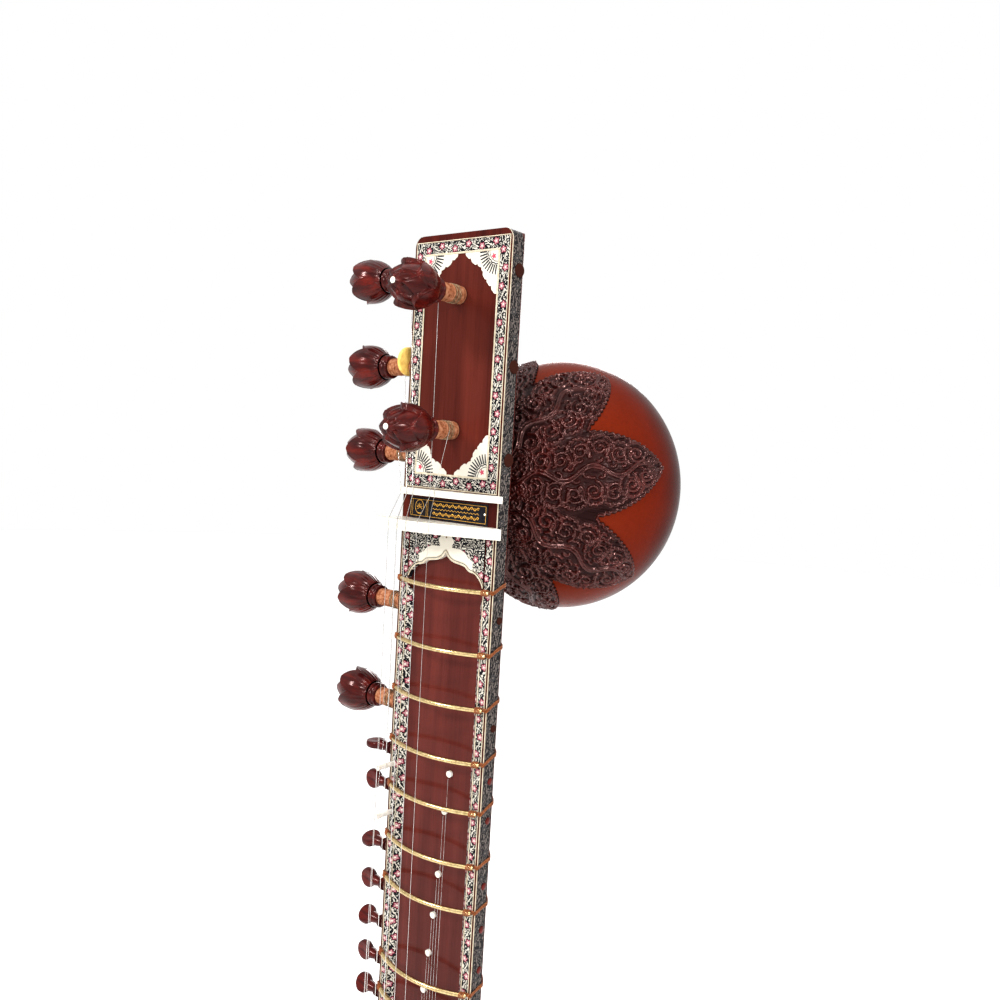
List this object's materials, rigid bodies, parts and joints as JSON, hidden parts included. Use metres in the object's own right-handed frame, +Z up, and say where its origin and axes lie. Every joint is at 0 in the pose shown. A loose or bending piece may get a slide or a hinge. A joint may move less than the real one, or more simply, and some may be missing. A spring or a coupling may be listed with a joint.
{
  "type": "sitar",
  "caption": "Long-necked plucked string instrument with a gourd body, a second gourd behind the head, arched movable frets, carved pegs and sympathetic strings.",
  "frame": {"origin": "lowest point of the main gourd, on the centre plane of the instrument", "axes": "+Z up the neck, -Y the playing side with the strings, +X to the right seen from the playing side"},
  "size_m": [0.3514, 0.3084, 1.2465],
  "materials": {
    "gourd_skin": "gloss lacquer over dried gourd",
    "carved_wood": "gloss lacquer, carved",
    "neck_wood": "satin lacquer",
    "soundboard_wood": "gloss lacquer",
    "engraved_inlay": "engraved celluloid",
    "label": "black with gold lines",
    "bone": "polished bone",
    "boss_wood": "satin",
    "string_steel": "bright wire",
    "fret_brass": "polished brass, thread tied"
  },
  "bodies": {
    "root": {"main_gourd": "gourd_skin", "throat": "gourd_skin", "soundboard": "soundboard_wood", "throat_leaves": "carved_wood", "neck": "neck_wood", "fingerboard": "neck_wood", "head_panel": "neck_wood", "face_inlays": "engraved_inlay", "label_plate": "label", "string_guide": "bone", "nut_plate": "bone", "gourd_boss": "boss_wood", "bridge_base": "carved_wood", "bridge_plate": "bone", "tarab_bridge": "bone", "tailpiece": "bone", "bone_fittings": "bone", "main_strings": "string_steel", "tarab_strings": "string_steel"},
    "upper_gourd": {"upper_gourd": "gourd_skin", "upper_gourd_leaves": "carved_wood", "upper_gourd_stud": "boss_wood"},
    "tuning_bead": {"tuning_bead": "bone"},
    "side_peg_1": {"side_peg_1": "carved_wood"},
    "side_peg_2": {"side_peg_2": "carved_wood"},
    "side_peg_3": {"side_peg_3": "carved_wood"},
    "chikari_peg_1": {"chikari_peg_1": "carved_wood"},
    "chikari_peg_2": {"chikari_peg_2": "carved_wood"},
    "front_peg_1": {"front_peg_1": "carved_wood"},
    "front_peg_2": {"front_peg_2": "carved_wood"},
    "tarab_peg_01": {"tarab_peg_01": "carved_wood"},
    "tarab_peg_02": {"tarab_peg_02": "carved_wood"},
    "tarab_peg_03": {"tarab_peg_03": "carved_wood"},
    "tarab_peg_04": {"tarab_peg_04": "carved_wood"},
    "tarab_peg_05": {"tarab_peg_05": "carved_wood"},
    "tarab_peg_06": {"tarab_peg_06": "carved_wood"},
    "tarab_peg_07": {"tarab_peg_07": "carved_wood"},
    "tarab_peg_08": {"tarab_peg_08": "carved_wood"},
    "tarab_peg_09": {"tarab_peg_09": "carved_wood"},
    "tarab_peg_10": {"tarab_peg_10": "carved_wood"},
    "tarab_peg_11": {"tarab_peg_11": "carved_wood"},
    "fret_01": {"fret_01": "fret_brass"},
    "fret_02": {"fret_02": "fret_brass"},
    "fret_03": {"fret_03": "fret_brass"},
    "fret_04": {"fret_04": "fret_brass"},
    "fret_05": {"fret_05": "fret_brass"},
    "fret_06": {"fret_06": "fret_brass"},
    "fret_07": {"fret_07": "fret_brass"},
    "fret_08": {"fret_08": "fret_brass"},
    "fret_09": {"fret_09": "fret_brass"},
    "fret_10": {"fret_10": "fret_brass"},
    "fret_11": {"fret_11": "fret_brass"},
    "fret_12": {"fret_12": "fret_brass"},
    "fret_13": {"fret_13": "fret_brass"},
    "fret_14": {"fret_14": "fret_brass"},
    "fret_15": {"fret_15": "fret_brass"},
    "fret_16": {"fret_16": "fret_brass"},
    "fret_17": {"fret_17": "fret_brass"},
    "fret_18": {"fret_18": "fret_brass"},
    "fret_19": {"fret_19": "fret_brass"}
  },
  "joints": [
    {"name": "upper_gourd_turn", "type": "hinge", "parent": "root", "child": "upper_gourd", "pos_m": [0, -0.026, 1.0598], "axis": [0, 1, 0], "continuous": true},
    {"name": "tuning_bead_slide", "type": "slide", "parent": "root", "child": "tuning_bead", "axis": [0.0591, -0.2, 0.978], "range_m": [-0.025, 0.045]},
    {"name": "side_peg_1_turn", "type": "hinge", "parent": "root", "child": "side_peg_1", "pos_m": [-0.06, -0.0625, 1.2172], "axis": [-1, 0, 0], "continuous": true},
    {"name": "side_peg_2_turn", "type": "hinge", "parent": "root", "child": "side_peg_2", "pos_m": [-0.06, -0.0625, 1.1485], "axis": [-1, 0, 0], "continuous": true},
    {"name": "side_peg_3_turn", "type": "hinge", "parent": "root", "child": "side_peg_3", "pos_m": [-0.06, -0.0625, 1.0812], "axis": [-1, 0, 0], "continuous": true},
    {"name": "chikari_peg_1_turn", "type": "hinge", "parent": "root", "child": "chikari_peg_1", "pos_m": [-0.06, -0.0625, 0.9635], "axis": [-1, 0, 0], "continuous": true},
    {"name": "chikari_peg_2_turn", "type": "hinge", "parent": "root", "child": "chikari_peg_2", "pos_m": [-0.06, -0.0625, 0.883], "axis": [-1, 0, 0], "continuous": true},
    {"name": "front_peg_1_turn", "type": "hinge", "parent": "root", "child": "front_peg_1", "pos_m": [0, -0.082, 1.2005], "axis": [0, -1, 0], "continuous": true},
    {"name": "front_peg_2_turn", "type": "hinge", "parent": "root", "child": "front_peg_2", "pos_m": [0, -0.082, 1.1007], "axis": [0, -1, 0], "continuous": true},
    {"name": "tarab_peg_01_turn", "type": "hinge", "parent": "root", "child": "tarab_peg_01", "pos_m": [-0.055, -0.0625, 0.843], "axis": [-1, 0, 0], "continuous": true},
    {"name": "tarab_peg_02_turn", "type": "hinge", "parent": "root", "child": "tarab_peg_02", "pos_m": [-0.055, -0.0625, 0.8132], "axis": [-1, 0, 0], "continuous": true},
    {"name": "tarab_peg_03_turn", "type": "hinge", "parent": "root", "child": "tarab_peg_03", "pos_m": [-0.055, -0.0625, 0.76292], "axis": [-1, 0, 0], "continuous": true},
    {"name": "tarab_peg_04_turn", "type": "hinge", "parent": "root", "child": "tarab_peg_04", "pos_m": [-0.055, -0.0625, 0.72966], "axis": [-1, 0, 0], "continuous": true},
    {"name": "tarab_peg_05_turn", "type": "hinge", "parent": "root", "child": "tarab_peg_05", "pos_m": [-0.055, -0.0625, 0.6983], "axis": [-1, 0, 0], "continuous": true},
    {"name": "tarab_peg_06_turn", "type": "hinge", "parent": "root", "child": "tarab_peg_06", "pos_m": [-0.055, -0.0625, 0.66779], "axis": [-1, 0, 0], "continuous": true},
    {"name": "tarab_peg_07_turn", "type": "hinge", "parent": "root", "child": "tarab_peg_07", "pos_m": [-0.055, -0.0625, 0.63957], "axis": [-1, 0, 0], "continuous": true},
    {"name": "tarab_peg_08_turn", "type": "hinge", "parent": "root", "child": "tarab_peg_08", "pos_m": [-0.055, -0.0625, 0.61293], "axis": [-1, 0, 0], "continuous": true},
    {"name": "tarab_peg_09_turn", "type": "hinge", "parent": "root", "child": "tarab_peg_09", "pos_m": [-0.055, -0.0625, 0.58779], "axis": [-1, 0, 0], "continuous": true},
    {"name": "tarab_peg_10_turn", "type": "hinge", "parent": "root", "child": "tarab_peg_10", "pos_m": [-0.055, -0.0625, 0.56406], "axis": [-1, 0, 0], "continuous": true},
    {"name": "tarab_peg_11_turn", "type": "hinge", "parent": "root", "child": "tarab_peg_11", "pos_m": [-0.055, -0.0625, 0.50057], "axis": [-1, 0, 0], "continuous": true},
    {"name": "fret_01_slide", "type": "slide", "parent": "root", "child": "fret_01", "axis": [0, 0, 1], "range_m": [-0.004, 0.002]},
    {"name": "fret_02_slide", "type": "slide", "parent": "root", "child": "fret_02", "axis": [0, 0, 1], "range_m": [-0.004, 0.004]},
    {"name": "fret_03_slide", "type": "slide", "parent": "root", "child": "fret_03", "axis": [0, 0, 1], "range_m": [-0.004, 0.004]},
    {"name": "fret_04_slide", "type": "slide", "parent": "root", "child": "fret_04", "axis": [0, 0, 1], "range_m": [-0.004, 0.004]},
    {"name": "fret_05_slide", "type": "slide", "parent": "root", "child": "fret_05", "axis": [0, 0, 1], "range_m": [-0.0015, 0.004]},
    {"name": "fret_06_slide", "type": "slide", "parent": "root", "child": "fret_06", "axis": [0, 0, 1], "range_m": [-0.004, 0.004]},
    {"name": "fret_07_slide", "type": "slide", "parent": "root", "child": "fret_07", "axis": [0, 0, 1], "range_m": [-0.004, 0.004]},
    {"name": "fret_08_slide", "type": "slide", "parent": "root", "child": "fret_08", "axis": [0, 0, 1], "range_m": [-0.004, 0.004]},
    {"name": "fret_09_slide", "type": "slide", "parent": "root", "child": "fret_09", "axis": [0, 0, 1], "range_m": [-0.004, 0.004]},
    {"name": "fret_10_slide", "type": "slide", "parent": "root", "child": "fret_10", "axis": [0, 0, 1], "range_m": [-0.004, 0.004]},
    {"name": "fret_11_slide", "type": "slide", "parent": "root", "child": "fret_11", "axis": [0, 0, 1], "range_m": [-0.004, 0.004]},
    {"name": "fret_12_slide", "type": "slide", "parent": "root", "child": "fret_12", "axis": [0, 0, 1], "range_m": [-0.004, 0.004]},
    {"name": "fret_13_slide", "type": "slide", "parent": "root", "child": "fret_13", "axis": [0, 0, 1], "range_m": [-0.004, 0.004]},
    {"name": "fret_14_slide", "type": "slide", "parent": "root", "child": "fret_14", "axis": [0, 0, 1], "range_m": [-0.004, 0.004]},
    {"name": "fret_15_slide", "type": "slide", "parent": "root", "child": "fret_15", "axis": [0, 0, 1], "range_m": [-0.004, 0.004]},
    {"name": "fret_16_slide", "type": "slide", "parent": "root", "child": "fret_16", "axis": [0, 0, 1], "range_m": [-0.004, 0.004]},
    {"name": "fret_17_slide", "type": "slide", "parent": "root", "child": "fret_17", "axis": [0, 0, 1], "range_m": [-0.004, 0.004]},
    {"name": "fret_18_slide", "type": "slide", "parent": "root", "child": "fret_18", "axis": [0, 0, 1], "range_m": [-0.004, 0.004]},
    {"name": "fret_19_slide", "type": "slide", "parent": "root", "child": "fret_19", "axis": [0, 0, 1], "range_m": [-0.003, 0.004]}
  ]
}
